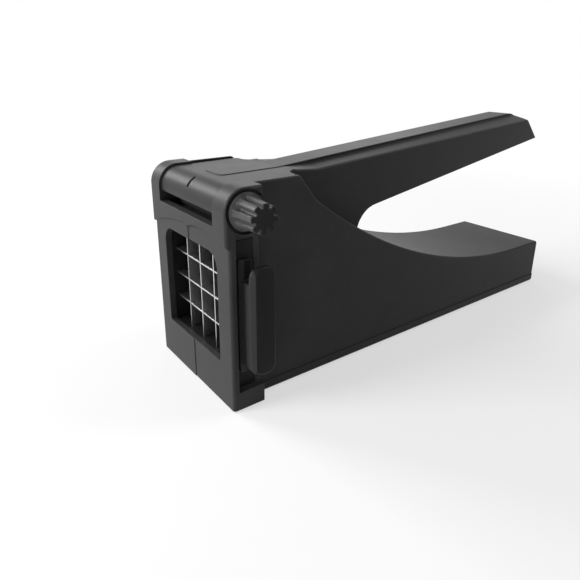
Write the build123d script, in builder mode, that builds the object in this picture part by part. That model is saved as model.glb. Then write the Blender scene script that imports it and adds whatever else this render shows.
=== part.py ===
from build123d import *
import os
from math import atan, cos, pi, radians, sin, sqrt, tan

# French fry cutter: a hand lever swings a studded pusher towards a grid of blades held in a
# front frame, and a removable hinge pin with a knob joins lever and frame.
# Frame of the part, in millimetres: +Z is up from the surface it stands on, -Y is the side the
# fries come out of, and the handles point along +Y. The origin lies on that surface, midway
# across the cutter and straight under the hinge axis, which runs along X.

# ---- driving sizes --------------------------------------------------------------------------
# hinge
hinge_height = 101.1
pin_radius = 3.0
pin_clearance = 0.05
pin_end_wall = 1.6
pin_end_gap = 0.9
pin_bevel = 0.5
# front frame
frame_width = 80.0
frame_depth = 19.5
ear_radius = 11.0
ear_flat = 0.01
ear_thickness = 11.5
frame_face_wall = 5.0
frame_edge_round = 1.6
sole_height = 0.7
crossbar_thickness = 2.0
lip_depth = 4.5
lip_height = 3.7
# arch over the panel round the window: heights at its left end, middle and right end
arch_left_height = 79.5
arch_left_bulge_x = 18.0
arch_left_bulge_height = 85.4
arch_middle_height = 87.2
arch_middle_step = 1.2
arch_right_bulge_x = 20.0
arch_right_bulge_height = 88.8
arch_right_height = 85.0
arch_slope_depth = 1.2
arch_slope_height = 1.0
panel_depth = 1.7
panel_split = 0.3
# window and blade grid
window_size = 56.0
window_centre = 51.5
window_corner = 8.0
cells_per_side = 4
blade_thickness = 0.8
blade_depth = 7.0
blade_bite = 2.6
blade_edge_depth = 1.0
blade_edge_width = 0.16
# body
body_width = 66.0
wall = 2.4
wall_top = 112.0
wall_end = 35.0
body_underside = 6.0
body_rear = 267.5
saddle_radius = 320.0
saddle_low_y = 239.0
saddle_low_height = 33.4
brow_foot = 46.0
brow_round = 2.0
brow_foot_round = 8.0
body_end_round = 2.5
body_edge_round = 1.2
chamber_radius = 95.5
chamber_floor = 21.0
tongue_depth = 2.0
tongue_end_gap = 4.0
# base plate and feet
base_rim_proud = 0.4
base_plate_under = 1.0
base_plate_thickness = 2.0
base_edge_round = 0.8
foot_length = 20.0
foot_width = 10.0
foot_side_inset = 2.5
foot_rear_inset = 3.5
foot_recess = 1.0
strip_length = 60.0
strip_width = 10.0
rubber_thickness = 3.0
rubber_corner = 1.6
rubber_bevel = 0.4
# lever
side_gap = 0.3
barrel_radius = 9.8
barrel_lip_drop = 2.3
pin_boss_radius = 5.6
plate_thickness = 3.0
plate_end = 36.5
plate_corner = 2.5
handle_width = 36.0
handle_run_in = 6.5
handle_root_y = 39.0
handle_root_height = 111.4
handle_rise = 17.1
tip_y = 267.7
tip_height = 110.4
tip_slant_back = 18.3
tip_round = 14.0
underside_rise = 0.158
throat_foot = 68.0
throat_radius = 16.5
web_gap = 1.3
lever_wall = 2.4
lever_rib = 2.0
rib_pitch = 26.0
flank_step = 1.5
flank_step_round = 1.0
flank_root_drop = 2.9
flank_tip_drop = 5.0
flank_run_out = 15.0
handle_edge_round = 1.4
spine_width = 17.0
spine_start = 5.0
spine_end = 256.0
spine_depth = 1.8
spine_gap = 0.2
spine_proud = 0.3
spine_corner = 3.0
notch_width = 1.6
notch_depth = 1.2
notch_from = 22.0
notch_to = 62.0
# pusher
pusher_side_gap = 0.8
pusher_end_gap = 0.3
pusher_thickness = 2.6
stud_clearance = 0.9
stud_round = 1.2
pusher_corner = 1.2
carrier_width = 48.0
carrier_thickness = 2.6
carrier_foot = 26.0
pusher_screw_inset = 3.0
pusher_screw_length = 5.8
# cassette
cassette_clearance = 0.3
cassette_thickness = 10.8
cassette_top_rail = 7.7
cassette_bottom_rail = 12.7
slot_end_wall = 5.0
end_recess = 4.0
grip_flange_thickness = 2.0
grip_flange_inset = 1.0
grip_flange_foot = 20.0
grip_flange_top = 78.0
grip_flange_corner = 1.2
grip_reach = 12.0
grip_thickness = 7.0
grip_height = 57.0
grip_centre = 46.0
grip_width = 16.0
grip_front = -3.5
grip_bevel = 3.6
grip_corner = 5.0
grip_edge_round = 1.1
tongue_thickness = 4.2
tongue_height = 44.0
tongue_wall = 1.2
grip_pin_radius = 1.0
grip_pin_spread = 32.0
# knob
knob_radius = 6.9
knob_length = 12.0
knob_flange_radius = 8.9
knob_flange_thickness = 3.6
knob_lobes = 8
knob_turn = 16.0
knob_slot_width = 1.9
knob_slot_depth = 2.2
knob_flange_round = 0.6
knob_lobe_round = 0.3
washer_thickness = 1.0
washer_radius = 8.4
counterbore_depth = 2.0
counterbore_gap = 1.4
nut_flats = 10.0
nut_thickness = 4.8
# fasteners
screw_radius = 1.5
screw_head_radius = 2.8
screw_head_height = 1.8
driver_slot_width = 0.8
driver_slot_depth = 0.9
boss_radius = 3.8
boss_side_inset = 2.0
front_boss_y = 32.5
rear_boss_y = 226.0
base_screw_length = 14.0
frame_screw_length = 10.4
frame_screw_inset = 8.0
rivet_radius = 1.4
rivet_head_radius = 2.4
rivet_head_height = 0.9
rivet_inset = 3.7
fit_gap = 0.1
seat_gap = 0.3
overcut = 1.0

# ---- derived places ---------------------------------------------------------------------------
front_y = -ear_radius
rear_y = front_y + frame_depth
half_frame = frame_width / 2
ear_inner = half_frame - ear_thickness
ear_top = hinge_height + ear_radius
half_body = body_width / 2
inner_half = half_body - wall
slot_front = front_y + frame_face_wall
cassette_front = slot_front + cassette_clearance
cassette_back = cassette_front + cassette_thickness
slot_back = cassette_back + cassette_clearance
cassette_under = window_centre - window_size / 2 - cassette_bottom_rail
cassette_top = window_centre + window_size / 2 + cassette_top_rail
slot_under = cassette_under - cassette_clearance
crossbar_under = cassette_top + cassette_clearance
crossbar_top = crossbar_under + crossbar_thickness
lip_top = crossbar_top + lip_height
barrel_top = hinge_height + barrel_radius
half_lever = ear_inner - side_gap
half_handle = handle_width / 2
half_spine = spine_width / 2
cell = window_size / cells_per_side
grid_steps = [(i - (cells_per_side - 2) / 2) * cell for i in range(cells_per_side - 1)]
stud_steps = [(i - (cells_per_side - 1) / 2) * cell for i in range(cells_per_side)]
pusher_front = rear_y + seat_gap
pusher_back = pusher_front + pusher_thickness
stud_tip = cassette_back + seat_gap
carrier_back = pusher_back + carrier_thickness
pusher_width = window_size - 2 * pusher_side_gap
pusher_height = window_size - 2 * pusher_end_gap
pusher_screw_step = carrier_width / 2 - pusher_screw_inset
stud_size = cell - blade_thickness - 2 * stud_clearance
tip_top_y = tip_y - tip_slant_back
handle_slope = handle_rise / (tip_top_y - handle_root_y)
cassette_left = -(half_frame - slot_end_wall) + cassette_clearance
cassette_right = half_frame - end_recess
cassette_window = window_size + 2 * cassette_clearance
parting_y = (cassette_front + cassette_back) / 2
blade_front = parting_y - blade_depth / 2
blade_back = parting_y + blade_depth / 2
blade_half_span = window_size / 2 + blade_bite
tongue_inner = blade_half_span + fit_gap + tongue_wall
base_plate_top = base_plate_under + base_plate_thickness
throat_y = sqrt((chamber_radius - web_gap) ** 2 - (hinge_height - throat_foot) ** 2)
throat_leg = tip_height - underside_rise * (tip_y - throat_y) - throat_foot
throat_round = min(throat_radius, (throat_leg - fit_gap) / tan((pi / 2 - atan(underside_rise)) / 2))
shoulder = half_lever - half_handle
run_in = min(handle_run_in, shoulder - plate_corner - fit_gap)
root_roof = flank_root_drop + lever_wall
tip_roof = flank_tip_drop + lever_wall
frame_screw_spots = [(side * (inner_half - frame_screw_inset), body_underside) for side in (-1, 1)]
boss_x = inner_half - boss_side_inset - boss_radius
boss_spots = [(side * boss_x, y) for side in (-1, 1) for y in (front_boss_y, rear_boss_y)]
pusher_screw_spots = [
    (side * pusher_screw_step, window_centre + stud_steps[row])
    for side in (-1, 1)
    for row in (0, -1)
]


def saddle(y):
    """Height of the body's concave upper edge, an arc that is level at saddle_low_y."""
    return saddle_low_height + saddle_radius - sqrt(saddle_radius**2 - (saddle_low_y - y) ** 2)


def plate_top(y):
    """Height of the hinge plate's top line, from the barrel back to the handle's root."""
    return barrel_top + (handle_root_height - barrel_top) * y / handle_root_y


def handle_top(y):
    """Height of the handle's straight top line."""
    return handle_root_height + handle_slope * (y - handle_root_y)


def handle_under(y):
    """Height of the handle's straight underside."""
    return tip_height - underside_rise * (tip_y - y)


def web_foot(y):
    """Height of the slanting lower edge of the webs that brace the pusher."""
    return carrier_foot + (throat_foot - carrier_foot) * (y - carrier_back) / (throat_y - carrier_back)


def facing_front(y):
    """Upright plane at depth y, whose normal points at the fries' side (-Y)."""
    return Plane.XZ.offset(-y)


def facing_side(x):
    """Upright plane at X = x with local axes along Y and Z."""
    return Plane.YZ.offset(x)


def level(z):
    """Level plane at height z."""
    return Plane.XY.offset(z)


def corner(u, v):
    """Corner of the sketch being drawn that lies nearest to the point (u, v)."""
    return vertices().sort_by_distance((u, v))[0]


def block(u0, u1, v0, v1, mode=Mode.ADD):
    """Rectangle from (u0, v0) to (u1, v1) in the sketch being drawn."""
    with Locations(((u0 + u1) / 2, (v0 + v1) / 2)):
        Rectangle(u1 - u0, v1 - v0, mode=mode)


# ---- front frame --------------------------------------------------------------------------------
# what is taken off the front below the arch, in two halves that meet in a fine step
arch_left = ((-half_frame, arch_left_height), (-arch_left_bulge_x, arch_left_bulge_height))
arch_right = ((half_frame, arch_right_height), (arch_right_bulge_x, arch_right_bulge_height))


def below_arch(y, edge, bulge, middle, lift):
    """One half of the front below the arch, at depth y, with the arch lifted by lift."""
    with BuildSketch(facing_front(y)) as section:
        with BuildLine():
            arch_end = (edge[0], edge[1] + lift)
            arch_start = (0, middle + lift)
            ThreePointArc(arch_end, (bulge[0], bulge[1] + lift), arch_start)
            Polyline(arch_start, (0, 0), (edge[0], 0), arch_end)
        make_face()
    return section.sketch


panel_cuts = []
for (edge, bulge), middle, depth in (
    (arch_left, arch_middle_height, panel_depth - panel_split),
    (arch_right, arch_middle_height - arch_middle_step, panel_depth),
):
    back_y = front_y + depth + frame_edge_round
    with BuildSketch(Plane.XY) as corner_plan:
        block(min(edge[0], 0), max(edge[0], 0), front_y + depth, back_y + overcut)
        fillet(corner(edge[0], front_y + depth), frame_edge_round)
    with BuildPart() as panel_cut:
        low_arch = below_arch(back_y, edge, bulge, middle, 0)
        extrude(to_extrude=low_arch, amount=depth + frame_edge_round + overcut)
        extrude(to_extrude=corner_plan.sketch, amount=2 * hinge_height, mode=Mode.SUBTRACT)
        # sloping edge all along the arch
        slope_back = below_arch(front_y + arch_slope_depth, edge, bulge, middle, 0)
        slope_front = below_arch(front_y, edge, bulge, middle, arch_slope_height)
        loft([slope_back, slope_front])
    panel_cuts.append(panel_cut.part)

with BuildPart() as front_frame:
    with BuildSketch(Plane.YZ):
        block(front_y, rear_y, sole_height, ear_top)
        fillet(corner(front_y, ear_top), ear_radius - ear_flat)
    extrude(amount=half_frame, both=True)
    # room for the lever between the two ears: low behind, with a lip along the front
    with BuildSketch(Plane.YZ):
        block(front_y + lip_depth, rear_y + overcut, crossbar_top, ear_top + overcut)
        block(front_y - overcut, front_y + lip_depth, lip_top, ear_top + overcut)
    extrude(amount=ear_inner, both=True, mode=Mode.SUBTRACT)
    # softened upright edges of the front, and the panel under the arch
    for outermost in (0, -1):
        upright = front_frame.edges().filter_by(Axis.Z).group_by(Axis.Y)[0].group_by(Axis.X)[outermost]
        fillet(upright, frame_edge_round)
    add(panel_cuts, mode=Mode.SUBTRACT)
    # window
    with BuildSketch(facing_front(slot_front + overcut)):
        with Locations((0, window_centre)):
            Rectangle(window_size, window_size)
        fillet(vertices().group_by(Axis.Y)[-1], window_corner)
        fillet(vertices().group_by(Axis.Y)[0], frame_edge_round)
    extrude(amount=frame_face_wall + 2 * overcut, mode=Mode.SUBTRACT)
    # slot that takes the blade cassette from the right
    with BuildSketch(facing_side(-(half_frame - slot_end_wall))):
        block(slot_front, slot_back, slot_under, crossbar_under)
    extrude(amount=frame_width, mode=Mode.SUBTRACT)
    # shallow bay on the right side, from the cassette's end up to the round ear
    with BuildSketch(facing_side(cassette_right)):
        block(slot_front, rear_y + overcut, slot_under, hinge_height)
        with Locations((0, hinge_height)):
            Circle(ear_radius, mode=Mode.SUBTRACT)
    extrude(amount=end_recess + overcut, mode=Mode.SUBTRACT)
    # rear opening through which the pusher reaches the blades
    with BuildSketch(facing_front(rear_y + overcut)):
        block(-ear_inner, ear_inner, chamber_floor + seat_gap, crossbar_under)
    extrude(amount=rear_y - slot_back + 2 * overcut, mode=Mode.SUBTRACT)
    # grooves for the tongues of the body's side walls
    with BuildSketch(facing_front(rear_y)):
        for side in (-1, 1):
            with Locations((side * (half_body - wall / 2), (chamber_floor + ear_top) / 2)):
                Rectangle(wall + 2 * fit_gap, ear_top - chamber_floor - 2 * tongue_end_gap)
    extrude(amount=tongue_depth + fit_gap, mode=Mode.SUBTRACT)
    # hinge bore, nut pocket on the left, counterbore for the knob on the right
    with BuildSketch(facing_side(-half_frame + pin_end_wall)):
        with Locations((0, hinge_height)):
            Circle(pin_radius + pin_clearance)
    extrude(amount=frame_width, mode=Mode.SUBTRACT)
    with BuildSketch(facing_side(-ear_inner)):
        with Locations((0, hinge_height)):
            RegularPolygon(nut_flats / 2 + fit_gap, 6, major_radius=False)
    extrude(amount=-(nut_thickness + seat_gap), mode=Mode.SUBTRACT)
    with BuildSketch(facing_side(half_frame - counterbore_depth)):
        with Locations((0, hinge_height)):
            Circle(knob_flange_radius + counterbore_gap)
    extrude(amount=counterbore_depth + overcut, mode=Mode.SUBTRACT)
    # groove under the sole for the rubber strip
    with BuildSketch(level(sole_height)):
        with Locations((0, (front_y + rear_y) / 2)):
            RectangleRounded(strip_length + 2 * fit_gap, strip_width + 2 * fit_gap, rubber_corner)
    extrude(amount=rubber_thickness - sole_height, mode=Mode.SUBTRACT)
    # pilot holes for the screws that hold the body
    with BuildSketch(facing_front(rear_y)):
        with Locations(*frame_screw_spots):
            Circle(screw_radius)
    extrude(amount=frame_screw_length - wall + overcut, mode=Mode.SUBTRACT)
front_frame.part.label = "front_frame"

# ---- body ---------------------------------------------------------------------------------------
with BuildSketch(Plane.YZ) as body_side:
    with BuildLine():
        Polyline((body_rear, body_underside), (rear_y, body_underside), (rear_y, wall_top))
        Polyline((rear_y, wall_top), (wall_end, wall_top), (brow_foot, saddle(brow_foot)))
        ThreePointArc(
            (brow_foot, saddle(brow_foot)),
            ((brow_foot + saddle_low_y) / 2, saddle((brow_foot + saddle_low_y) / 2)),
            (saddle_low_y, saddle_low_height),
        )
        Polyline((saddle_low_y, saddle_low_height), (body_rear, saddle_low_height))
        Line((body_rear, saddle_low_height), (body_rear, body_underside))
    make_face()
    fillet(corner(wall_end, wall_top), brow_round)
    fillet(corner(brow_foot, saddle(brow_foot)), brow_foot_round)
    fillet(corner(body_rear, saddle_low_height), body_end_round)

# the space the pusher sweeps, round the hinge axis
with BuildSketch(Plane.YZ) as chamber_side:
    with Locations((0, hinge_height)):
        Circle(chamber_radius)
    block(rear_y, chamber_radius + overcut, chamber_floor, ear_top + wall, mode=Mode.INTERSECT)

# the hollow under the chamber and the lower handle
with BuildSketch(Plane.YZ) as cavity_side:
    add(body_side.sketch_local)
    offset(amount=-wall)
    with Locations((0, hinge_height)):
        Circle(chamber_radius + wall, mode=Mode.SUBTRACT)
    block(rear_y + wall, chamber_radius, 0, chamber_floor - wall)
    block(rear_y + wall, body_rear - wall, 0, body_underside + wall)

with BuildPart() as body_shell:
    extrude(to_extrude=body_side.sketch, amount=half_body, both=True)
    # softened edges all along the top and down the rear
    rim = body_shell.edges().filter_by(
        lambda edge: abs(edge.center().X) > half_body - fit_gap
        and edge.center().Z > body_underside + fit_gap
        and edge.center().Y > rear_y + fit_gap
    )
    fillet(rim, body_edge_round)
    extrude(to_extrude=chamber_side.sketch, amount=inner_half, both=True, mode=Mode.SUBTRACT)
    extrude(to_extrude=cavity_side.sketch, amount=inner_half, both=True, mode=Mode.SUBTRACT)
    # tongues that enter the front frame
    with BuildSketch(facing_front(rear_y)):
        for side in (-1, 1):
            with Locations((side * (half_body - wall / 2), (chamber_floor + ear_top) / 2)):
                Rectangle(wall, ear_top - chamber_floor - 2 * tongue_end_gap - 2 * fit_gap)
    extrude(amount=tongue_depth)
    # front web, which reaches down behind the frame's sole and takes the frame screws
    with BuildSketch(facing_front(rear_y + wall)):
        block(-inner_half, inner_half, base_plate_under, chamber_floor)
    extrude(amount=wall)
    with BuildSketch(facing_front(rear_y + wall)):
        with Locations(*frame_screw_spots):
            Circle(screw_radius + fit_gap)
    extrude(amount=wall, mode=Mode.SUBTRACT)
    # bosses for the base screws
    for x, y in boss_spots:
        roof = chamber_floor if y < chamber_radius else min(saddle(y), saddle_low_height)
        with BuildSketch(level(body_underside + fit_gap)):
            with Locations((x, y)):
                Circle(boss_radius)
        extrude(amount=roof - wall / 2 - body_underside - fit_gap)
    with BuildSketch(level(body_underside)):
        with Locations(*boss_spots):
            Circle(screw_radius)
    extrude(amount=base_screw_length - (body_underside - base_plate_under) + overcut, mode=Mode.SUBTRACT)
body_shell.part.label = "body_shell"

# ---- base plate, feet and their screws ------------------------------------------------------------
plate_front_y = rear_y + wall + fit_gap
plate_rear_y = body_rear + base_rim_proud
plate_half = half_body + base_rim_proud
foot_x = half_body - foot_side_inset - foot_width / 2
foot_y = body_rear - foot_rear_inset - foot_length / 2
foot_seat = base_plate_under + foot_recess

with BuildPart() as base_plate:
    with BuildSketch(level(base_plate_under)):
        block(-plate_half, plate_half, plate_front_y, plate_rear_y)
        fillet(vertices().group_by(Axis.Y)[-1], body_edge_round + base_rim_proud)
    extrude(amount=body_underside - base_plate_under)
    with BuildSketch(level(base_plate_top)):
        block(-inner_half, inner_half, plate_front_y - overcut, body_rear - wall)
    extrude(amount=body_underside, mode=Mode.SUBTRACT)
    with BuildSketch(level(base_plate_top)):
        with Locations(*boss_spots):
            Circle(boss_radius)
    extrude(amount=body_underside - base_plate_top)
    with BuildSketch(level(0)):
        with Locations(*boss_spots):
            Circle(screw_radius + fit_gap)
    extrude(amount=body_underside + overcut, mode=Mode.SUBTRACT)
    with BuildSketch(level(base_plate_under)):
        with Locations(*boss_spots):
            Circle(screw_head_radius + fit_gap)
    extrude(amount=screw_head_height + fit_gap, mode=Mode.SUBTRACT)
    # softened lower edge, then recesses for the rear feet
    fillet(base_plate.faces().sort_by(Axis.Z)[0].outer_wire().edges(), base_edge_round)
    with BuildSketch(level(base_plate_under)):
        with Locations((-foot_x, foot_y), (foot_x, foot_y)):
            RectangleRounded(foot_width + 2 * fit_gap, foot_length + 2 * fit_gap, rubber_corner)
    extrude(amount=foot_recess, mode=Mode.SUBTRACT)
base_plate.part.label = "base_plate"

feet = []
for side, name in ((-1, "rear_foot_left"), (1, "rear_foot_right")):
    with BuildPart() as rear_foot:
        with BuildSketch(level(0)):
            with Locations((side * foot_x, foot_y)):
                RectangleRounded(foot_width, foot_length, rubber_corner)
        extrude(amount=foot_seat)
        chamfer(rear_foot.edges().group_by(Axis.Z)[0], rubber_bevel)
    rear_foot.part.label = name
    feet.append(rear_foot.part)

with BuildPart() as front_strip:
    with BuildSketch(level(0)):
        with Locations((0, (front_y + rear_y) / 2)):
            RectangleRounded(strip_length, strip_width, rubber_corner)
    extrude(amount=rubber_thickness)
    chamfer(front_strip.edges().group_by(Axis.Z)[0], rubber_bevel)
front_strip.part.label = "front_strip"

base_screw_foot = base_plate_under + fit_gap
with BuildPart() as base_screws:
    with BuildSketch(level(base_screw_foot)):
        with Locations(*boss_spots):
            Circle(screw_head_radius)
    extrude(amount=screw_head_height)
    with BuildSketch(level(base_screw_foot)):
        with Locations(*boss_spots):
            Circle(screw_radius)
    extrude(amount=base_screw_length)
    # cross recess in each head
    with BuildSketch(level(base_screw_foot)):
        with Locations(*boss_spots):
            Rectangle(2 * screw_radius, driver_slot_width)
            Rectangle(driver_slot_width, 2 * screw_radius)
    extrude(amount=driver_slot_depth, mode=Mode.SUBTRACT)
base_screws.part.label = "base_screws"

with BuildPart() as frame_screws:
    with BuildSketch(facing_front(rear_y + wall + screw_head_height)):
        with Locations(*frame_screw_spots):
            Circle(screw_head_radius)
    extrude(amount=screw_head_height)
    with BuildSketch(facing_front(rear_y + wall)):
        with Locations(*frame_screw_spots):
            Circle(screw_radius)
    extrude(amount=frame_screw_length)
    # cross recess in each head
    with BuildSketch(facing_front(rear_y + wall + screw_head_height)):
        with Locations(*frame_screw_spots):
            Rectangle(2 * screw_radius, driver_slot_width)
            Rectangle(driver_slot_width, 2 * screw_radius)
    extrude(amount=driver_slot_depth, mode=Mode.SUBTRACT)
frame_screws.part.label = "frame_screws"

# ---- lever ----------------------------------------------------------------------------------------
flank_start = plate_end + run_in
section_over = 2 * overcut
section_under = 2 * flank_tip_drop

# outline of the handle and of the webs that brace the pusher, seen from the side
with BuildSketch(Plane.YZ) as lever_side:
    with BuildLine():
        Polyline(
            (pusher_back, barrel_top),
            (handle_root_y, handle_root_height),
            (tip_top_y, handle_top(tip_top_y)),
            (tip_y, tip_height),
            (throat_y, handle_under(throat_y)),
            (throat_y, throat_foot),
            (carrier_back, carrier_foot),
            (pusher_back, carrier_foot),
            close=True,
        )
    make_face()
    fillet(corner(tip_top_y, handle_top(tip_top_y)), tip_round)
    fillet(corner(throat_y, handle_under(throat_y)), throat_round)

# the hollow inside it, open along the handle's underside and along the webs' lower edge
with BuildSketch(Plane.YZ) as lever_hollow:
    add(lever_side.sketch_local)
    offset(amount=-lever_wall)
    with BuildLine():
        Polyline(
            (0, handle_top(0) - root_roof),
            (tip_y, handle_top(tip_y) - tip_roof),
            (tip_y, handle_top(tip_y) + tip_roof),
            (0, handle_top(tip_y) + tip_roof),
            close=True,
        )
    make_face(mode=Mode.SUBTRACT)
    under_front = throat_y + throat_radius + lever_wall
    under_rear = tip_top_y - lever_wall
    with BuildLine():
        Polyline(
            (under_front, handle_under(under_front) + 2 * lever_wall),
            (under_rear, handle_under(under_rear) + 2 * lever_wall),
            (under_rear, handle_under(under_rear) - lever_wall),
            (under_front, handle_under(under_front) - lever_wall),
            close=True,
        )
    make_face()
    foot_front = carrier_back + lever_wall
    foot_back = throat_y - 2 * lever_wall
    with BuildLine():
        Polyline(
            (foot_front, web_foot(foot_front) + 2 * lever_wall),
            (foot_back, web_foot(foot_back) + 2 * lever_wall),
            (foot_back, web_foot(foot_back) - 2 * lever_wall),
            (foot_front, web_foot(foot_front) - 2 * lever_wall),
            close=True,
        )
    make_face()
    # cross ribs stay standing
    rib_y = carrier_back + rib_pitch
    while rib_y < under_rear - lever_wall:
        block(rib_y - lever_rib / 2, rib_y + lever_rib / 2, 0, 2 * hinge_height, mode=Mode.SUBTRACT)
        rib_y += rib_pitch


def across_handle(y):
    """Plane square to the handle's top line at depth y, with its local y axis pointing down."""
    return Plane(origin=(0, y, handle_top(y)), x_dir=(1, 0, 0), z_dir=(0, 1, handle_slope))


def flank_section(side, y, share, drop):
    """What is pared off one side of the handle's top: a rounded step beside the spine, then a slope."""
    with BuildSketch(across_handle(y)) as section:
        with BuildLine():
            Polyline(
                (side * half_spine, -section_over),
                (side * half_spine, share * flank_step),
                (side * half_handle, share * drop),
                (side * half_handle, section_under),
                (side * (half_handle + section_over), section_under),
                (side * (half_handle + section_over), -section_over),
                close=True,
            )
        make_face()
        fillet(corner(side * half_spine, share * flank_step), share * flank_step_round)
        fillet(corner(side * half_handle, share * drop), handle_edge_round)
    return section.sketch


def along_spine(rise):
    """Profile of a strip that runs along the hinge plate, the handle's top and its rounded tip."""
    with BuildSketch(Plane.YZ) as strip:
        tip_top = handle_top(tip_top_y)
        with BuildLine():
            Polyline(
                (spine_start, plate_top(spine_start) - spine_depth),
                (handle_root_y, handle_root_height - spine_depth),
                (tip_top_y, tip_top - spine_depth),
                (tip_y, tip_height - spine_depth),
                (tip_y, tip_height + rise),
                (tip_top_y, tip_top + rise),
                (handle_root_y, handle_root_height + rise),
                (spine_start, plate_top(spine_start) + rise),
                close=True,
            )
        make_face()
        fillet([corner(tip_top_y, tip_top - spine_depth), corner(tip_top_y, tip_top + rise)], tip_round)
    return strip.sketch


def spine_plan(gap):
    """Plan of the strip on top of the handle, held back by gap from the channel's walls."""
    with BuildSketch(level(0)) as plan:
        block(-half_spine + gap, half_spine - gap, spine_start + gap, spine_end - gap)
        fillet(vertices(), spine_corner)
    return plan.sketch


with BuildPart() as spine_channel:
    extrude(to_extrude=along_spine(overcut), amount=half_spine, both=True)
    extrude(to_extrude=spine_plan(0), amount=2 * hinge_height, mode=Mode.INTERSECT)

with BuildPart() as lever_shell:
    # hinge plate, wide between the ears, with a concave run-in to the handle on each side
    with BuildSketch(Plane.YZ):
        plate_rear = flank_start + run_in
        with BuildLine():
            Polyline(
                (0, barrel_top),
                (handle_root_y, handle_root_height),
                (plate_rear, handle_top(plate_rear)),
                (plate_rear, handle_top(plate_rear) - plate_thickness),
                (handle_root_y, handle_root_height - plate_thickness),
                (0, barrel_top - plate_thickness),
                close=True,
            )
        make_face()
    extrude(amount=half_lever, both=True)
    with BuildSketch(level(0)):
        block(-half_lever, half_lever, -overcut, plate_end)
        block(-half_handle, half_handle, plate_end, plate_rear + overcut)
        fillet([corner(-half_lever, plate_end), corner(half_lever, plate_end)], plate_corner)
        fillet([corner(-half_handle, plate_end), corner(half_handle, plate_end)], run_in)
    extrude(amount=2 * hinge_height, mode=Mode.INTERSECT)
    # handle and webs
    extrude(to_extrude=lever_side.sketch, amount=half_handle, both=True)
    # pusher carrier hanging behind the blades
    with BuildSketch(facing_front(carrier_back)):
        block(-carrier_width / 2, carrier_width / 2, carrier_foot, barrel_top - plate_thickness / 2)
    extrude(amount=carrier_thickness)
    # flanks either side of the flat top of the handle, running out towards the hinge
    for side in (-1, 1):
        flank_foot = flank_section(side, flank_start, fit_gap, flank_root_drop)
        flank_root = flank_section(side, flank_start + flank_run_out, 1, flank_root_drop)
        flank_tip = flank_section(side, tip_y, 1, flank_tip_drop)
        loft([flank_foot, flank_root], mode=Mode.SUBTRACT)
        loft([flank_root, flank_tip], mode=Mode.SUBTRACT)
    # hollow each side of a middle rib
    for side in (-1, 1):
        with BuildSketch(facing_side(side * lever_rib / 2)):
            add(lever_hollow.sketch_local)
        extrude(amount=side * (half_handle - lever_wall - lever_rib / 2), mode=Mode.SUBTRACT)
    # barrel round the hinge pin, cut back in front to a boss below its lip
    with BuildSketch(Plane.YZ):
        with Locations((0, hinge_height)):
            Circle(barrel_radius)
        block(
            -barrel_radius - overcut,
            0,
            hinge_height - barrel_radius - overcut,
            hinge_height - barrel_lip_drop,
            mode=Mode.SUBTRACT,
        )
        with Locations((0, hinge_height)):
            Circle(pin_boss_radius)
    extrude(amount=half_lever, both=True)
    with BuildSketch(Plane.YZ):
        with Locations((0, hinge_height)):
            Circle(pin_radius + pin_clearance)
    extrude(amount=half_lever + overcut, both=True, mode=Mode.SUBTRACT)
    # channel for the spine cover along the flat top and over the tip
    add(spine_channel.part, mode=Mode.SUBTRACT)
    # narrow notch over the upper front of the barrel
    with BuildSketch(Plane.YZ):
        with BuildLine():
            ahead = [radians(angle) for angle in (notch_from, notch_to)]
            Polyline(
                (0, hinge_height),
                *[(-2 * barrel_radius * sin(a), hinge_height + 2 * barrel_radius * cos(a)) for a in ahead],
                close=True,
            )
        make_face()
        with Locations((0, hinge_height)):
            Circle(barrel_radius - notch_depth, mode=Mode.SUBTRACT)
    extrude(amount=notch_width / 2, both=True, mode=Mode.SUBTRACT)
    # holes for the pusher screws, and room for their heads beside the webs
    with BuildSketch(facing_front(carrier_back + overcut)):
        with Locations(*pusher_screw_spots):
            Circle(screw_radius + fit_gap)
    extrude(amount=carrier_thickness + 2 * overcut, mode=Mode.SUBTRACT)
    with BuildSketch(facing_front(carrier_back + screw_head_height + seat_gap)):
        with Locations(*pusher_screw_spots):
            Circle(screw_head_radius + fit_gap)
    extrude(amount=screw_head_height + seat_gap, mode=Mode.SUBTRACT)
lever_shell.part.label = "lever_shell"

# long inlay that closes the channel on top of the handle
with BuildPart() as spine_cover:
    extrude(to_extrude=along_spine(spine_proud), amount=half_spine, both=True)
    extrude(to_extrude=spine_plan(spine_gap), amount=2 * hinge_height, mode=Mode.INTERSECT)
spine_cover.part.label = "spine_cover"

# ---- pusher ---------------------------------------------------------------------------------------
with BuildPart() as pusher_plate:
    with BuildSketch(facing_front(pusher_back)):
        with Locations((0, window_centre)):
            RectangleRounded(pusher_width, pusher_height, pusher_corner)
    extrude(amount=pusher_thickness)
    with BuildSketch(facing_front(pusher_front)):
        for x in stud_steps:
            for z in stud_steps:
                with Locations((x, window_centre + z)):
                    RectangleRounded(stud_size, stud_size, stud_round)
    extrude(amount=pusher_front - stud_tip)
    # pilot holes for the screws from behind
    with BuildSketch(facing_front(pusher_back)):
        with Locations(*pusher_screw_spots):
            Circle(screw_radius)
    extrude(amount=pusher_screw_length - carrier_thickness + seat_gap, mode=Mode.SUBTRACT)
pusher_plate.part.label = "pusher_plate"

with BuildPart() as pusher_screws:
    with BuildSketch(facing_front(carrier_back + screw_head_height)):
        with Locations(*pusher_screw_spots):
            Circle(screw_head_radius)
    extrude(amount=screw_head_height)
    with BuildSketch(facing_front(carrier_back)):
        with Locations(*pusher_screw_spots):
            Circle(screw_radius)
    extrude(amount=pusher_screw_length)
    # cross recess in each head
    with BuildSketch(facing_front(carrier_back + screw_head_height)):
        with Locations(*pusher_screw_spots):
            Rectangle(2 * screw_radius, driver_slot_width)
            Rectangle(driver_slot_width, 2 * screw_radius)
    extrude(amount=driver_slot_depth, mode=Mode.SUBTRACT)
pusher_screws.part.label = "pusher_screws"

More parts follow.
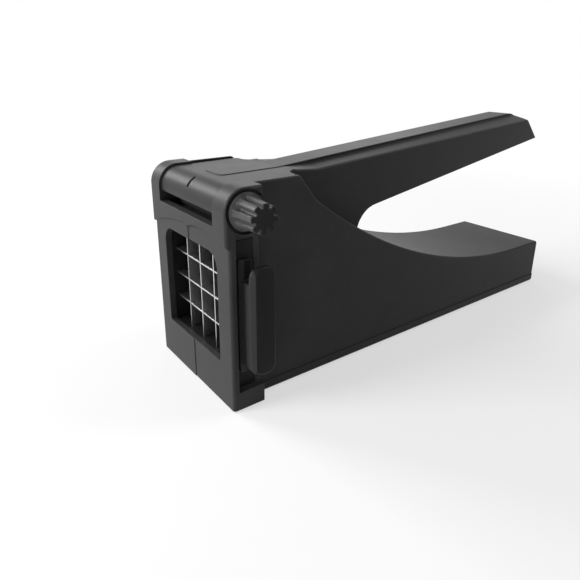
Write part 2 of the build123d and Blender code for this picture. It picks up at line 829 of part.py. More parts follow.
# ---- hinge pin, knob, washer and nut ----------------------------------------------------------------
washer_x = half_frame - counterbore_depth + pin_clearance
knob_x = washer_x + washer_thickness + pin_clearance
lobes_x = knob_x + knob_flange_thickness
pin_left_x = -half_frame + pin_end_wall + pin_end_gap
pin_right_x = lobes_x + knob_length - knob_flange_thickness

with BuildPart() as hinge_pin:
    with BuildSketch(facing_side(pin_left_x)):
        with Locations((0, hinge_height)):
            Circle(pin_radius)
    extrude(amount=pin_right_x - pin_left_x)
    chamfer(hinge_pin.edges().group_by(Axis.X)[0], pin_bevel)
hinge_pin.part.label = "hinge_pin"

with BuildPart() as pin_knob:
    with BuildSketch(facing_side(knob_x)):
        with Locations((0, hinge_height)):
            Circle(knob_flange_radius)
    extrude(amount=knob_flange_thickness)
    fillet(pin_knob.edges().group_by(Axis.X)[-1], knob_flange_round)
    with BuildSketch(facing_side(lobes_x)):
        with Locations((0, hinge_height)):
            Circle(knob_radius)
            with PolarLocations(knob_radius, knob_lobes, start_angle=knob_turn):
                Rectangle(2 * knob_slot_depth, knob_slot_width, mode=Mode.SUBTRACT)
        fillet(vertices(), knob_lobe_round)
    extrude(amount=knob_length)
    fillet(pin_knob.faces().sort_by(Axis.X)[-1].outer_wire().edges(), knob_lobe_round)
    with BuildSketch(facing_side(knob_x)):
        with Locations((0, hinge_height)):
            Circle(pin_radius + pin_clearance)
    extrude(amount=pin_right_x - knob_x + pin_clearance, mode=Mode.SUBTRACT)
pin_knob.part.label = "pin_knob"

with BuildPart() as pin_washer:
    with BuildSketch(facing_side(washer_x)):
        with Locations((0, hinge_height)):
            Circle(washer_radius)
            Circle(pin_radius + pin_clearance, mode=Mode.SUBTRACT)
    extrude(amount=washer_thickness)
pin_washer.part.label = "pin_washer"

with BuildPart() as pin_nut:
    with BuildSketch(facing_side(-ear_inner - nut_thickness - seat_gap + fit_gap)):
        with Locations((0, hinge_height)):
            RegularPolygon(nut_flats / 2, 6, major_radius=False)
            Circle(pin_radius + pin_clearance, mode=Mode.SUBTRACT)
    extrude(amount=nut_thickness)
pin_nut.part.label = "pin_nut"

# ---- blade cassette -----------------------------------------------------------------------------------
tongue_half = tongue_thickness / 2
tongue_foot = grip_centre - tongue_height / 2
tongue_top = grip_centre + tongue_height / 2
rivet_x = cassette_window / 2 + rivet_inset
rivet_rows = (cassette_under + rivet_inset, cassette_top - rivet_inset)
rivet_spots = [(side * rivet_x, z) for side in (-1, 1) for z in rivet_rows]
grip_pin_x = (tongue_inner + cassette_right) / 2
grip_pin_spots = [(grip_pin_x, grip_centre + side * grip_pin_spread / 2) for side in (-1, 1)]
blade_slot = blade_thickness + 2 * fit_gap
half_slot = blade_half_span + fit_gap


def cassette_half(outer_y, inward):
    """One moulded half of the cassette: from its outer face at outer_y inwards to the parting plane."""
    thickness = abs(parting_y - outer_y)
    with BuildPart() as half:
        with BuildSketch(facing_front(parting_y)):
            block(cassette_left, cassette_right, cassette_under, cassette_top)
            with Locations((0, window_centre)):
                Rectangle(cassette_window, cassette_window, mode=Mode.SUBTRACT)
            with Locations(*rivet_spots):
                Circle(rivet_radius + fit_gap, mode=Mode.SUBTRACT)
            with Locations(*grip_pin_spots):
                Circle(grip_pin_radius + fit_gap, mode=Mode.SUBTRACT)
        extrude(amount=inward * thickness)
        # slots that hold the ends of the blades
        with BuildSketch(facing_front(parting_y)):
            for step in grid_steps:
                with Locations((step, window_centre)):
                    Rectangle(blade_slot, 2 * half_slot)
                with Locations((0, window_centre + step)):
                    Rectangle(2 * half_slot, blade_slot)
        extrude(amount=inward * (blade_depth / 2 + fit_gap), mode=Mode.SUBTRACT)
        # pocket for the tongue of the grip
        with BuildSketch(facing_front(parting_y)):
            block(tongue_inner, cassette_right + overcut, tongue_foot - fit_gap, tongue_top + fit_gap)
        extrude(amount=inward * (tongue_half + fit_gap), mode=Mode.SUBTRACT)
        # sunk seats for the rivet heads
        with BuildSketch(facing_front(outer_y)):
            with Locations(*rivet_spots):
                Circle(rivet_head_radius + fit_gap)
        extrude(amount=-inward * (rivet_head_height + fit_gap), mode=Mode.SUBTRACT)
    return half.part


cassette_front_half = cassette_half(cassette_front, 1)
cassette_front_half.label = "cassette_front_half"
cassette_rear_half = cassette_half(cassette_back, -1)
cassette_rear_half.label = "cassette_rear_half"

with BuildPart() as cassette_rivets:
    with BuildSketch(facing_front(cassette_back - fit_gap)):
        with Locations(*rivet_spots):
            Circle(rivet_radius)
    extrude(amount=cassette_thickness - 2 * fit_gap)
    for head_y in (cassette_back - fit_gap, cassette_front + fit_gap + rivet_head_height):
        with BuildSketch(facing_front(head_y)):
            with Locations(*rivet_spots):
                Circle(rivet_head_radius)
        extrude(amount=rivet_head_height)
cassette_rivets.part.label = "cassette_rivets"

with BuildSketch(Plane.XY) as blade_profile:
    with BuildLine():
        Polyline(
            (-blade_thickness / 2, blade_front),
            (blade_thickness / 2, blade_front),
            (blade_thickness / 2, blade_back - blade_edge_depth),
            (blade_edge_width / 2, blade_back),
            (-blade_edge_width / 2, blade_back),
            (-blade_thickness / 2, blade_back - blade_edge_depth),
            close=True,
        )
    make_face()

blades = []
for number, step in enumerate(grid_steps, start=1):
    # upright blade, sharpened behind, notched from the front for the level ones
    with BuildPart() as upright_blade:
        with BuildSketch(Plane(origin=(step, 0, window_centre - blade_half_span), z_dir=(0, 0, 1))):
            add(blade_profile.sketch_local)
        extrude(amount=2 * blade_half_span)
        with BuildSketch(facing_front(parting_y + fit_gap)):
            with Locations(*[(step, window_centre + other) for other in grid_steps]):
                Rectangle(2 * blade_slot, blade_slot)
        extrude(amount=blade_depth, mode=Mode.SUBTRACT)
    upright_blade.part.label = f"upright_blade_{number}"
    blades.append(upright_blade.part)
    # level blade, notched from behind
    blade_plane = Plane(
        origin=(-blade_half_span, 0, window_centre + step),
        x_dir=(0, 0, -1),
        z_dir=(1, 0, 0),
    )
    with BuildPart() as level_blade:
        with BuildSketch(blade_plane):
            add(blade_profile.sketch_local)
        extrude(amount=2 * blade_half_span)
        with BuildSketch(facing_front(parting_y - fit_gap)):
            with Locations(*[(other, window_centre + step) for other in grid_steps]):
                Rectangle(blade_slot, 2 * blade_slot)
        extrude(amount=-blade_depth, mode=Mode.SUBTRACT)
    level_blade.part.label = f"level_blade_{number}"
    blades.append(level_blade.part)

with BuildPart() as cassette_grip:
    # tongue held between the halves, and the neck beyond it
    bar_x = half_frame + grip_reach - grip_thickness - end_recess
    bar_right_x = bar_x + grip_thickness
    with BuildSketch(facing_side(tongue_inner + fit_gap)):
        block(parting_y - tongue_half, parting_y + tongue_half, tongue_foot, tongue_top)
    extrude(amount=bar_x + overcut - tongue_inner - fit_gap)
    # flange that lies against the cassette's end
    with BuildSketch(facing_side(cassette_right + fit_gap)):
        block(
            cassette_front + grip_flange_inset,
            cassette_back - grip_flange_inset,
            grip_flange_foot,
            grip_flange_top,
        )
        fillet(vertices(), grip_flange_corner)
    extrude(amount=grip_flange_thickness)
    # bar for the fingers, bevelled along its front
    with BuildSketch(facing_side(bar_x)):
        with Locations((grip_front + grip_width / 2, grip_centre)):
            RectangleRounded(grip_width, grip_height, grip_corner)
    extrude(amount=grip_thickness)
    fillet(cassette_grip.faces().sort_by(Axis.X)[-1].edges(), grip_edge_round)
    with BuildSketch(level(grip_centre - grip_height)):
        with BuildLine():
            Polyline(
                (bar_right_x - grip_bevel, grip_front - overcut),
                (bar_right_x - grip_bevel, grip_front),
                (bar_right_x, grip_front + grip_bevel),
                (bar_right_x + overcut, grip_front + grip_bevel),
                (bar_right_x + overcut, grip_front - overcut),
                close=True,
            )
        make_face()
    extrude(amount=2 * grip_height, mode=Mode.SUBTRACT)
    with BuildSketch(facing_front(parting_y + tongue_thickness)):
        with Locations(*grip_pin_spots):
            Circle(grip_pin_radius + fit_gap)
    extrude(amount=2 * tongue_thickness, mode=Mode.SUBTRACT)
cassette_grip.part.label = "cassette_grip"

with BuildPart() as grip_pins:
    with BuildSketch(facing_front(cassette_back - fit_gap)):
        with Locations(*grip_pin_spots):
            Circle(grip_pin_radius)
    extrude(amount=cassette_thickness - 2 * fit_gap)
grip_pins.part.label = "grip_pins"

# ---- output -------------------------------------------------------------------------------------------
pieces = [
    front_frame.part,
    body_shell.part,
    base_plate.part,
    *feet,
    front_strip.part,
    base_screws.part,
    frame_screws.part,
    lever_shell.part,
    spine_cover.part,
    pusher_plate.part,
    pusher_screws.part,
    hinge_pin.part,
    pin_knob.part,
    pin_washer.part,
    pin_nut.part,
    cassette_front_half,
    cassette_rear_half,
    cassette_rivets.part,
    *blades,
    cassette_grip.part,
    grip_pins.part,
]
os.makedirs("parts", exist_ok=True)
for piece in pieces:
    export_step(piece, f"parts/{piece.label}.step")
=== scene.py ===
"""French fry cutter: finishes, fine parts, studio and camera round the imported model.

Lengths are in metres. +Z is up, -Y is the side the fries come out of, and X runs along the
hinge pin.
"""

from math import cos, radians, sin

import bmesh
import bpy
import numpy as np
from mathutils import Matrix, Vector

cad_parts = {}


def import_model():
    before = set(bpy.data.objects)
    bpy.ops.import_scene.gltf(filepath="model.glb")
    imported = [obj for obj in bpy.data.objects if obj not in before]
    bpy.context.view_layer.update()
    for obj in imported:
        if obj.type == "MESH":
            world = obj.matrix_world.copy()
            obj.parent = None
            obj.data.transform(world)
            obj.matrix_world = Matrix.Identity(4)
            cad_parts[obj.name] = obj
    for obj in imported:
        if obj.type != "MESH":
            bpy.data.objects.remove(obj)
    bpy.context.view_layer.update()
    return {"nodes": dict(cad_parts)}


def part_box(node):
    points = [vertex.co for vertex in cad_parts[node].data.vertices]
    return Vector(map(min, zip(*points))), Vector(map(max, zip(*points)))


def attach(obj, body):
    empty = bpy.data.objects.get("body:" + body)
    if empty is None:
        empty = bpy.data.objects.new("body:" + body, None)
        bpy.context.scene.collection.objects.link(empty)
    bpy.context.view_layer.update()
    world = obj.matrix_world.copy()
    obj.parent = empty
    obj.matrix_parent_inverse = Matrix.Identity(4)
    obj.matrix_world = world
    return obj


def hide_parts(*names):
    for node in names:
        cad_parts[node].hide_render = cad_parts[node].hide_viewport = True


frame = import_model()
nodes = frame["nodes"]
MM = 0.001


# ---- shader kit -----------------------------------------------------------------------------

CORNER_TURN = 0.25  # 1 less the cosine of the turn at which a corner counts in full, for rubbed wear and for painted highlight
WHITE = (1, 1, 1, 1)


class Wire:
    """An output socket that takes part in arithmetic: each operator adds one Math node."""

    def __init__(self, board, socket):
        self.board = board
        self.socket = socket

    def maths(self, operation, *operands):
        """The Math node of that operation on the operands, wires or numbers."""
        inputs = dict(enumerate(operands))
        return self.board.node("ShaderNodeMath", {"operation": operation}, inputs)["Value"]

    def __add__(self, other):
        return self.maths("ADD", self, other)

    def __sub__(self, other):
        return self.maths("SUBTRACT", self, other)

    def __rsub__(self, other):
        return self.maths("SUBTRACT", other, self)

    def __mul__(self, other):
        return self.maths("MULTIPLY", self, other)

    __radd__ = __add__
    __rmul__ = __mul__

    def between(self, low, high):
        """0 below low, 1 above high and smooth in between."""
        return self.board.node(
            "ShaderNodeMapRange",
            {"interpolation_type": "SMOOTHSTEP"},
            {"Value": self, "From Min": low, "From Max": high},
        )["Result"]


class Board:
    """A node tree under construction, of a material or of the world."""

    def __init__(self, tree):
        self.tree = tree
        self.tree.nodes.clear()

    def node(self, kind, settings=None, inputs=None):
        """Adds any node: its settings first, then the values or wires of its sockets."""
        made = self.tree.nodes.new(kind)
        for key, value in (settings or {}).items():
            setattr(made, key, value)
        for key, value in (inputs or {}).items():
            if isinstance(key, int):
                socket = made.inputs[key]
            else:
                socket = next(s for s in made.inputs if s.name == key and s.enabled)
            if isinstance(value, Wire):
                self.tree.links.new(value.socket, socket)
            else:
                socket.default_value = value
        return {s.name: Wire(self, s) for s in made.outputs if s.enabled}

    def backdrop_rays(self):
        """1 for camera, glossy and transmitted rays, 0 for the rays that carry light."""
        path = self.node("ShaderNodeLightPath")
        rays = path["Is Camera Ray"] + path["Is Glossy Ray"] + path["Is Transmission Ray"]
        return rays.between(0, 1)


class Finish(Board):
    """A material under construction, in Object coordinates."""

    def __init__(self, name):
        self.material = bpy.data.materials.new(name)
        self.material.use_nodes = True
        super().__init__(self.material.node_tree)
        self.place = self.node("ShaderNodeTexCoord")["Object"]

    def vector(self, operation, first, second, output="Vector"):
        """The Vector Math node of that operation on two vectors."""
        kind = "ShaderNodeVectorMath"
        return self.node(kind, {"operation": operation}, {0: first, 1: second})[output]

    def noise(self, scale, detail, stretch=None, roughness=0.5):
        """Fractal noise of so many features per metre, stretched along the axes."""
        place = self.vector("MULTIPLY", self.place, stretch) if stretch else self.place
        return self.node(
            "ShaderNodeTexNoise",
            {},
            {"Vector": place, "Scale": scale, "Detail": detail, "Roughness": roughness},
        )["Fac"]

    def blend(self, share, first, second):
        """Mix of two colours or wires: first where share is 0, second where it is 1."""
        first, second = (c if isinstance(c, Wire) else (*c, 1) for c in (first, second))
        inputs = {"Factor": share, "A": first, "B": second}
        return self.node("ShaderNodeMix", {"data_type": "RGBA"}, inputs)["Result"]

    def rounded(self, radius):
        """Normal that rounds the sharp corners of the piece by radius."""
        return self.node("ShaderNodeBevel", {"samples": 6}, {"Radius": radius})["Normal"]

    def edges(self, rounded):
        """1 close to a sharp corner of the piece, 0 on its open faces."""
        plain = self.node("ShaderNodeNewGeometry")["Normal"]
        along = self.vector("DOT_PRODUCT", rounded, plain, output="Value")
        return (1 - along).between(0.0, CORNER_TURN)

    def bump(self, height, depth, normal):
        """Normal with the height pattern raised by depth metres."""
        inputs = {"Height": height, "Distance": depth, "Normal": normal}
        return self.node("ShaderNodeBump", {}, inputs)["Normal"]

    def principled(self, **sockets):
        """Ends the material with a Principled BSDF; an underscore in a name is a space."""
        inputs = {name.replace("_", " "): value for name, value in sockets.items()}
        shader = self.node("ShaderNodeBsdfPrincipled", {}, inputs)["BSDF"]
        self.node("ShaderNodeOutputMaterial", {}, {"Surface": shader})
        return self.material


def dress(material, *names):
    """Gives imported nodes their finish."""
    for name in names:
        slots = nodes[name].data.materials
        slots.clear()
        slots.append(material)


# ---- finishes -------------------------------------------------------------------------------
# A finish's noises are in features per metre; tones are shares of its shade.

HIGHLIGHT_FADE = 0.2 * MM  # over which the painted highlight below a place fades out
ALONG_GRINDING = 0.02  # how much slower a pattern changes along the grinding than across it


def shades(shade, tone):
    """A colour: the shade times each share of the tone."""
    return [shade * share for share in tone]


def black_moulding(name, shade, gloss, grain, corner, mirror, highlight_shade=None, highlight_below=None):
    """Black plastic from a spark-eroded mould: a fine grain, gloss in slow clouds, rubbed corners.

    A painted highlight in the greyer highlight_shade, where that is given, lies on the corners and
    on all that lies below highlight_below, which is an axis and a place on it.
    """
    finish = Finish(name)
    rounded = finish.rounded(corner)
    # corners: rubbed wear in every moulding, and also a painted highlight where a highlight shade
    # is given
    corner_wear_and_highlight = finish.edges(rounded)
    cloud = finish.noise(28, 3)
    handling = finish.noise(150, 4, roughness=0.65)
    fine = finish.noise(2600, 2)
    coarse = finish.noise(900, 2)
    tint = finish.blend(
        (0.65 * cloud + 0.35 * handling + 0.5 * corner_wear_and_highlight).between(0.25, 0.95),
        shades(shade, (0.82, 0.83, 0.86)),
        shades(shade, (1.22, 1.22, 1.24)),
    )
    # painted highlight: a greyer colour on the corners and below a place on an axis, standing in
    # for light that falls there
    if highlight_shade:
        axis, limit = highlight_below
        across = finish.node("ShaderNodeSeparateXYZ", {}, {"Vector": finish.place})[axis]
        share = corner_wear_and_highlight.maths("MAXIMUM", corner_wear_and_highlight, (limit - across).between(0.0, HIGHLIGHT_FADE))
        tint = finish.blend(share, tint, (highlight_shade, highlight_shade, highlight_shade))
    return finish.principled(
        Base_Color=tint,
        Roughness=gloss + 0.10 * (cloud - 0.5) + 0.08 * (handling - 0.5) - 0.05 * corner_wear_and_highlight,
        Normal=finish.bump(0.6 * fine + 0.4 * coarse, grain, rounded),
        Specular_IOR_Level=mirror,
    )


def ground_steel(name, along, tone, gloss):
    """Stainless sheet with grinding lines that run along one axis."""
    finish = Finish(name)
    across = tuple(ALONG_GRINDING if axis == along else 1.0 for axis in "xyz")
    rounded = finish.rounded(0.12 * MM)
    lines = finish.noise(5200, 2, stretch=across)
    bands = finish.noise(700, 3, stretch=across)
    stain = finish.noise(90, 4)
    tint = finish.blend(
        (0.5 * bands + 0.5 * stain).between(0.3, 0.8),
        shades(tone, (0.90, 0.91, 0.94)),
        shades(tone, (1.06, 1.06, 1.05)),
    )
    return finish.principled(
        Base_Color=tint,
        Metallic=1.0,
        Roughness=gloss + 0.12 * (lines - 0.5) + 0.08 * (stain - 0.5),
        Normal=finish.bump(lines, 0.012 * MM, rounded),
    )


def zinc(name):
    """Zinc plated fastener: pale metal with a dull, spotty film."""
    finish = Finish(name)
    rounded = finish.rounded(0.15 * MM)
    film = finish.noise(1400, 4)
    spots = finish.noise(420, 3)
    return finish.principled(
        Base_Color=finish.blend(
            spots.between(0.35, 0.75), (0.47, 0.48, 0.50), (0.62, 0.62, 0.60)
        ),
        Metallic=1.0,
        Roughness=0.34 + 0.16 * (film - 0.5),
        Normal=finish.bump(film, 0.01 * MM, rounded),
    )


def soft_rubber(name):
    """Matt black rubber with a dusty bloom."""
    finish = Finish(name)
    rounded = finish.rounded(0.3 * MM)
    bloom = finish.noise(260, 5, roughness=0.7)
    skin = finish.noise(3200, 2)
    return finish.principled(
        Base_Color=finish.blend(
            bloom.between(0.35, 0.85), (0.016, 0.016, 0.017), (0.040, 0.039, 0.037)
        ),
        Roughness=0.78 + 0.12 * (bloom - 0.5),
        Normal=finish.bump(skin, 0.03 * MM, rounded),
        Specular_IOR_Level=0.3,
    )


SATIN = {"gloss": 0.42, "grain": 0.008 * MM}
# painted light: the frame's paler shade and stronger mirror than the body's make its lit front
# brighter than the shaded body sides
frame_black = black_moulding("frame_black", shade=0.034, corner=0.6 * MM, mirror=0.10, **SATIN)
body_black = black_moulding("body_black", shade=0.028, corner=0.6 * MM, mirror=0.09, **SATIN)
lever_black = black_moulding("lever_black", shade=0.022, corner=0.9 * MM, mirror=0.12, **SATIN)
inner_black = black_moulding(
    "inner_black", shade=0.010, gloss=0.50, grain=0.012 * MM, corner=0.3 * MM, mirror=0.10
)
knob_black = black_moulding(  # painted highlight: all of the knob but its end face is painted a greyer shade, where light falls on the lobes
    "knob_black",
    shade=0.017,
    gloss=0.30,
    grain=0.005 * MM,
    corner=0.8 * MM,
    mirror=0.07,
    highlight_shade=0.065,
    highlight_below=("X", 54.1 * MM),
)
grip_black = black_moulding(  # painted highlight: the chamfer along the grip's front is painted a greyer shade, where light falls on it
    "grip_black",
    shade=0.014,
    gloss=0.32,
    grain=0.005 * MM,
    corner=1.0 * MM,
    mirror=0.07,
    highlight_shade=0.034,
    highlight_below=("Y", -0.75 * MM),
)
dress(frame_black, "front_frame")
dress(body_black, "body_shell", "base_plate")
dress(lever_black, "lever_shell", "spine_cover")
dress(inner_black, "pusher_plate", "cassette_front_half", "cassette_rear_half")
dress(knob_black, "pin_knob", "cassette_grip")
dress(soft_rubber("foot_rubber"), "rear_foot_left", "rear_foot_right", "front_strip")
for level, along in (("upright", "z"), ("level", "x")):
    steel = ground_steel(f"blade_steel_{level}", along, tone=0.60, gloss=0.30)
    dress(steel, *[f"{level}_blade_{i}" for i in (1, 2, 3)])
dress(ground_steel("pin_steel", "x", tone=0.56, gloss=0.34), "hinge_pin")
dress(
    zinc("fastener_zinc"),
    "base_screws",
    "frame_screws",
    "pusher_screws",
    "pin_washer",
    "pin_nut",
    "cassette_rivets",
    "grip_pins",
)


# ---- surfaces of rings ----------------------------------------------------------------------


def smooth_step(value, low, high):
    """0 below low, 1 above high, with the cubic 3t^2 - 2t^3 in between."""
    t = np.clip((value - low) / (high - low), 0, 1)
    return t * t * (3 - 2 * t)


def strips(first, count, steps):
    """Quads between count rings of steps points each, whose points are numbered from first."""
    step = np.arange(steps)
    ahead = (step + 1) % steps
    ring = first + steps * np.arange(count - 1)[:, None]
    quads = [ring + step, ring + ahead, ring + steps + ahead, ring + steps + step]
    return np.stack(quads, axis=-1).reshape(-1, 4)


def fan(hub, first, steps):
    """Triangles from the point hub to a ring of steps points, numbered from first."""
    step = np.arange(steps)
    return np.stack([hub + 0 * step, first + step, first + (step + 1) % steps], axis=-1)


def meshed(name, points, faces, material):
    """Object at the origin whose mesh has those points and faces."""
    mesh = bpy.data.meshes.new(name)
    mesh.from_pydata(points.tolist(), [], faces)
    mesh.materials.append(material)
    piece = bpy.data.objects.new(name, mesh)
    bpy.context.scene.collection.objects.link(piece)
    return piece


def closed_rings(name, rings, material):
    """Closed surface over an array of rings, whose first and last ring shrink to a point."""
    count, steps = rings.shape[:2]
    points = np.concatenate([rings[0, :1], rings[1:-1].reshape(-1, 3), rings[-1, :1]])
    last = len(points) - 1
    lids = np.concatenate([fan(0, 1, steps)[:, ::-1], fan(last, last - steps, steps)])
    faces = strips(1, count - 2, steps).tolist() + lids.tolist()
    piece = meshed(name, points, faces, material)
    piece.data.shade_smooth()
    shell = bmesh.new()
    shell.from_mesh(piece.data)
    bmesh.ops.recalc_face_normals(shell, faces=shell.faces)
    shell.to_mesh(piece.data)
    shell.free()
    return piece


# ---- lobed knob -----------------------------------------------------------------------------

KNOB_LOBES = 8
KNOB_STEPS = 32 * KNOB_LOBES  # points round the knob
FIRST_SLOT = radians(16)  # angle of one slot, from +Y towards +Z
SLOT_DEPTH = 2.2 * MM
SLOT_FLOOR, SLOT_MOUTH = radians(6.0), radians(11.5)  # half the angle that each takes up
BORE_RADIUS, BORE_DEPTH = 3.05 * MM, 12.05 * MM
RIM_THICKNESS = 1.5 * MM
RIM_BEVEL = 0.35 * MM
END_RADIUS = 6.9 * MM
END_ROUND = 0.55 * MM
FLARE = 1.3 * MM  # how much wider the lobes are at the rim than at the end
DISH = 0.3 * MM
LOBE_RINGS, ROUND_RINGS, FACE_RINGS = 24, 6, 8


def lobed_knob():
    """Knob whose radius is the profile's, less a slot's depth where the angle is near its middle.

    The profile goes from the blind end of the bore round the rim, along lobes that flare towards
    the rim with the square of the distance from the end, and over a rounded edge to a dished face.
    """
    low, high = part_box("pin_knob")
    back, length = low[0], high[0] - low[0]
    rim_radius = (high[1] - low[1]) / 2
    middle_y, middle_z = (low[1] + high[1]) / 2, (low[2] + high[2]) / 2
    corners = np.array([
        (BORE_DEPTH, 0),
        (BORE_DEPTH, BORE_RADIUS - RIM_BEVEL),
        (BORE_DEPTH - RIM_BEVEL, BORE_RADIUS),
        (RIM_BEVEL, BORE_RADIUS),
        (0, BORE_RADIUS + RIM_BEVEL),
        (0, rim_radius - RIM_BEVEL),
        (RIM_BEVEL / 3, rim_radius - RIM_BEVEL / 3),
        (RIM_BEVEL, rim_radius),
        (RIM_THICKNESS - RIM_BEVEL, rim_radius),
        (RIM_THICKNESS - RIM_BEVEL / 3, rim_radius - RIM_BEVEL / 3),
        (RIM_THICKNESS, rim_radius - RIM_BEVEL),
    ])
    along = np.linspace(RIM_THICKNESS + RIM_BEVEL, length - END_ROUND, LOBE_RINGS)
    lobes = [along, END_RADIUS + FLARE * ((length - along) / length) ** 2]
    bend = np.linspace(0, np.pi / 2, ROUND_RINGS)[1:]
    edge = [length - END_ROUND * (1 - np.sin(bend)), END_RADIUS - END_ROUND * (1 - np.cos(bend))]
    reach = np.linspace(END_RADIUS - END_ROUND, 0, FACE_RINGS)[1:]
    face = [length - DISH * (1 - (reach / END_RADIUS) ** 2), reach]
    profile = np.concatenate([corners, *(np.stack(part, axis=-1) for part in (lobes, edge, face))])
    x, radius = profile[:, :1], profile[:, 1:]
    past_rim = (np.arange(len(profile)) >= len(corners))[:, None]
    slotted = smooth_step(x, RIM_THICKNESS, 3 * RIM_THICKNESS) * past_rim
    turn = np.linspace(0, 2 * np.pi, KNOB_STEPS + 1)[:-1][None, :]
    pitch = 2 * np.pi / KNOB_LOBES
    off_slot = np.abs((turn - FIRST_SLOT + pitch / 2) % pitch - pitch / 2)
    groove = 1 - smooth_step(off_slot, SLOT_FLOOR, SLOT_MOUTH)
    radius = radius * (1 - slotted * groove * SLOT_DEPTH / END_RADIUS)
    y, z = middle_y + radius * np.cos(turn), middle_z + radius * np.sin(turn)
    knob = closed_rings("lobed_knob", np.stack([back + x + 0 * turn, y, z], axis=-1), knob_black)
    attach(knob, "pin")
    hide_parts("pin_knob")


lobed_knob()


# ---- grip of the cassette -------------------------------------------------------------------

TONGUE_HALF = 2.1 * MM  # half the thickness of tongue and neck
TONGUE_FOOT, TONGUE_TOP = 24.0 * MM, 68.0 * MM
FLANGE_GAP = 0.1 * MM  # between the cassette's end and the flange
FLANGE_THICKNESS, FLANGE_INSET, FLANGE_CORNER = 2.0 * MM, 1.7 * MM, 1.2 * MM
FLANGE_LIFT = 2.5 * MM  # of the flange's foot over the lowest point of the grip that it replaces
BAR_FRONT, BAR_BACK = -2.75 * MM, 10.2 * MM
BAR_FOOT, BAR_TOP = 21.3 * MM, 76.5 * MM
BAR_THICKNESS = 3.4 * MM
BAR_CORNER, BAR_EDGE, BAR_CHAMFER = 5.0 * MM, 1.2 * MM, 2.0 * MM
SMALL_ROUND = 0.4 * MM
CORNER_STEPS, EDGE_RINGS = 9, 7
CREASE = radians(35)  # a sharper turn between faces stays a sharp line


def round_rectangles(rows):
    """Rings across X, one for each row of x, front, back, foot, top and corner.

    A ring is four quarter circles about the middles of the rectangle's corners.
    """
    x, front, back, foot, top, corner = (column[:, None] for column in rows.T)
    quarter = np.repeat(np.arange(4), CORNER_STEPS)[None, :]
    turn = (quarter + np.tile(np.linspace(0, 1, CORNER_STEPS), 4)[None, :]) * np.pi / 2
    side_y = np.where((quarter == 0) | (quarter == 3), 1, -1)
    side_z = np.where(quarter < 2, 1, -1)
    y = (front + back) / 2 + side_y * ((back - front) / 2 - corner) + corner * np.cos(turn)
    z = (foot + top) / 2 + side_z * ((top - foot) / 2 - corner) + corner * np.sin(turn)
    return np.stack([x + 0 * turn, y, z], axis=-1)


def finger_grip():
    """Rounded rectangles that change along X from tongue to flange, neck and bar.

    Towards the outer face the bar's sides draw in along a quarter circle, and its front draws in
    along a straight chamfer.
    """
    low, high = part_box("cassette_grip")
    flange_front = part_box("cassette_front_half")[0][1] + FLANGE_INSET
    flange_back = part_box("cassette_rear_half")[1][1] - FLANGE_INSET
    inner_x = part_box("cassette_front_half")[1][0] + FLANGE_GAP
    outer_x = inner_x + FLANGE_THICKNESS
    bar_x, face_x = high[0] - BAR_THICKNESS, high[0]
    parting = (flange_front + flange_back) / 2
    tongue = (
        parting - TONGUE_HALF, parting + TONGUE_HALF, TONGUE_FOOT, TONGUE_TOP, SMALL_ROUND
    )
    flange = (flange_front, flange_back, low[2] + FLANGE_LIFT, high[2], FLANGE_CORNER)
    root = np.array([
        (low[0], *tongue),
        (inner_x, *tongue),
        (inner_x, *flange),
        (outer_x, *flange),
        (outer_x, *tongue),
        (bar_x, *tongue),
    ])
    bend = np.linspace(0, np.pi / 2, EDGE_RINGS)
    sides_x = [bar_x, bar_x + SMALL_ROUND, face_x - BAR_CHAMFER]
    x = np.concatenate([sides_x, face_x - BAR_EDGE * (1 - np.sin(bend))])
    inset = np.concatenate([[SMALL_ROUND, 0, 0], BAR_EDGE * (1 - np.cos(bend))])
    chamfer = np.maximum(x - face_x + BAR_CHAMFER, inset)
    bar = np.stack(
        [
            x,
            BAR_FRONT + chamfer,
            BAR_BACK - inset,
            BAR_FOOT + inset,
            BAR_TOP - inset,
            BAR_CORNER - inset,
        ],
        axis=-1,
    )
    rings = round_rectangles(np.concatenate([root[:1], root, bar, bar[-1:]]))
    rings[0] = rings[1].mean(axis=0)
    rings[-1] = rings[-2].mean(axis=0)
    grip = closed_rings("finger_grip", rings, grip_black)
    grip.data.set_sharp_from_angle(angle=CREASE)
    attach(grip, "cassette")
    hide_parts("cassette_grip")


finger_grip()


# ---- studio ---------------------------------------------------------------------------------

FLOOR_RADII, FLOOR_STEPS = np.array([0.4, 1.0, 2.5, 6.0]), 64
FLOOR_MIDDLE_Y = 0.12
SHADOW_RADIUS, OPEN_RADIUS = 0.22, 0.75  # where the floor starts to fade to white and ends
NEAR_WHITE = 0.55  # how much of the floor round the cutter is the backdrop's white
AMBIENT = 0.14
LAMPS = {  # place, target, side of the square and power in watts
    "key": ((-0.34, -1.10, 0.62), (0, 0.05, 0.06), 0.6, 18),
    "gleam": ((-0.90, -0.38, 0.66), (0, 0.0, 0.09), 0.45, 9),
    "back": ((-0.80, 0.66, 0.60), (0, 0.10, 0.10), 0.7, 1.4),
    "rim": ((0.40, 0.75, 0.95), (0.03, 0.05, 0.08), 0.35, 4),
    "edge": ((0.55, -0.95, 0.10), (0.04, 0.0, 0.05), 0.16, 1.5),
}
EYE = (0.23074, -0.11828, 0.16425)
AZIMUTH, ELEVATION, ROLL = radians(53.33), radians(19.30), radians(0.48)
VIEW_SIDE = 580  # side of the square view, in pixels
FOCAL_LENGTH, VIEW_SHIFT = 530.8, -45  # in pixels of the view
SENSOR = 36  # in millimetres
NEAREST, FARTHEST = 0.01, 50


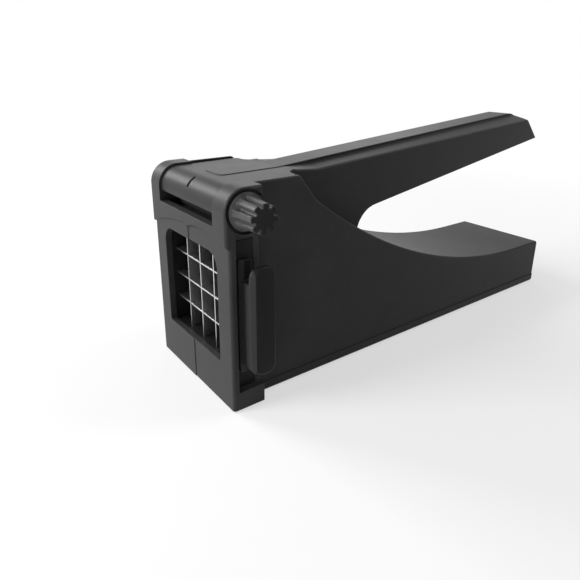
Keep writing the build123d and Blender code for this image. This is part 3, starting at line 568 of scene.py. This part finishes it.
def floor():
    """Round pale floor: rings of points round its middle, whose radii grow outwards.

    Camera, glossy and transmitted rays see it fade to white with the distance.
    """
    turn = np.linspace(0, 2 * np.pi, FLOOR_STEPS + 1)[:-1]
    circle = np.stack([np.cos(turn), np.sin(turn), 0 * turn], axis=-1)
    rings = FLOOR_RADII[:, None, None] * circle
    points = np.concatenate([[[0, 0, 0]], rings.reshape(-1, 3)])
    points[:, 1] += FLOOR_MIDDLE_Y
    strip_faces = strips(1, len(FLOOR_RADII), FLOOR_STEPS)[:, ::-1]
    faces = fan(0, 1, FLOOR_STEPS).tolist() + strip_faces.tolist()
    finish = Finish("floor_white")
    pale = finish.blend(finish.noise(3, 2), (0.86, 0.86, 0.86), (0.88, 0.88, 0.88))
    lit = finish.node("ShaderNodeBsdfDiffuse", {}, {"Color": pale})["BSDF"]
    white = finish.node("ShaderNodeEmission", {}, {"Color": WHITE, "Strength": 1.0})["Emission"]
    away = finish.node("ShaderNodeVectorMath", {"operation": "LENGTH"}, {0: finish.place})["Value"]
    share = NEAR_WHITE + (1 - NEAR_WHITE) * away.between(SHADOW_RADIUS, OPEN_RADIUS)
    inputs = {0: share * finish.backdrop_rays(), 1: lit, 2: white}
    shader = finish.node("ShaderNodeMixShader", {}, inputs)["Shader"]
    finish.node("ShaderNodeOutputMaterial", {}, {"Surface": shader})
    meshed("studio_floor", points, faces, finish.material)


def world():
    """White to the camera and in reflections, a soft ambient level for everything else."""
    made = bpy.data.worlds.new("studio_world")
    bpy.context.scene.world = made
    made.use_nodes = True
    sky = Board(made.node_tree)
    strength = AMBIENT + (1 - AMBIENT) * sky.backdrop_rays()
    inputs = {"Color": WHITE, "Strength": strength}
    shader = sky.node("ShaderNodeBackground", {}, inputs)["Background"]
    sky.node("ShaderNodeOutputWorld", {}, {"Surface": shader})


def softbox(name, place, target, size, power):
    """Square area lamp at place, turned towards target."""
    lamp = bpy.data.lights.new(name, "AREA")
    lamp.shape = "SQUARE"
    lamp.size = size
    lamp.energy = power
    box = bpy.data.objects.new(name, lamp)
    bpy.context.scene.collection.objects.link(box)
    box.location = place
    box.rotation_euler = (Vector(target) - Vector(place)).to_track_quat("-Z", "Y").to_euler()


def camera():
    """Stands right in front of the cutter, above it, and looks back and down along it."""
    back = Vector((sin(AZIMUTH) * cos(ELEVATION), -cos(AZIMUTH) * cos(ELEVATION), sin(ELEVATION)))
    level = Vector((cos(AZIMUTH), sin(AZIMUTH), 0))
    upright = back.cross(level)
    right = cos(ROLL) * level + sin(ROLL) * upright
    up = cos(ROLL) * upright - sin(ROLL) * level
    lens = bpy.data.cameras.new("camera")
    lens.sensor_width = SENSOR
    lens.lens = SENSOR * FOCAL_LENGTH / VIEW_SIDE
    lens.shift_y = VIEW_SHIFT / VIEW_SIDE
    lens.clip_start, lens.clip_end = NEAREST, FARTHEST
    eye = bpy.data.objects.new("camera", lens)
    bpy.context.scene.collection.objects.link(eye)
    turn = Matrix((right, up, back)).transposed()
    eye.matrix_world = Matrix.Translation(EYE) @ turn.to_4x4()
    bpy.context.scene.camera = eye


floor()
world()
for lamp_name, setup in LAMPS.items():
    softbox(lamp_name, *setup)
camera()
bpy.context.scene.view_settings.view_transform = "Standard"
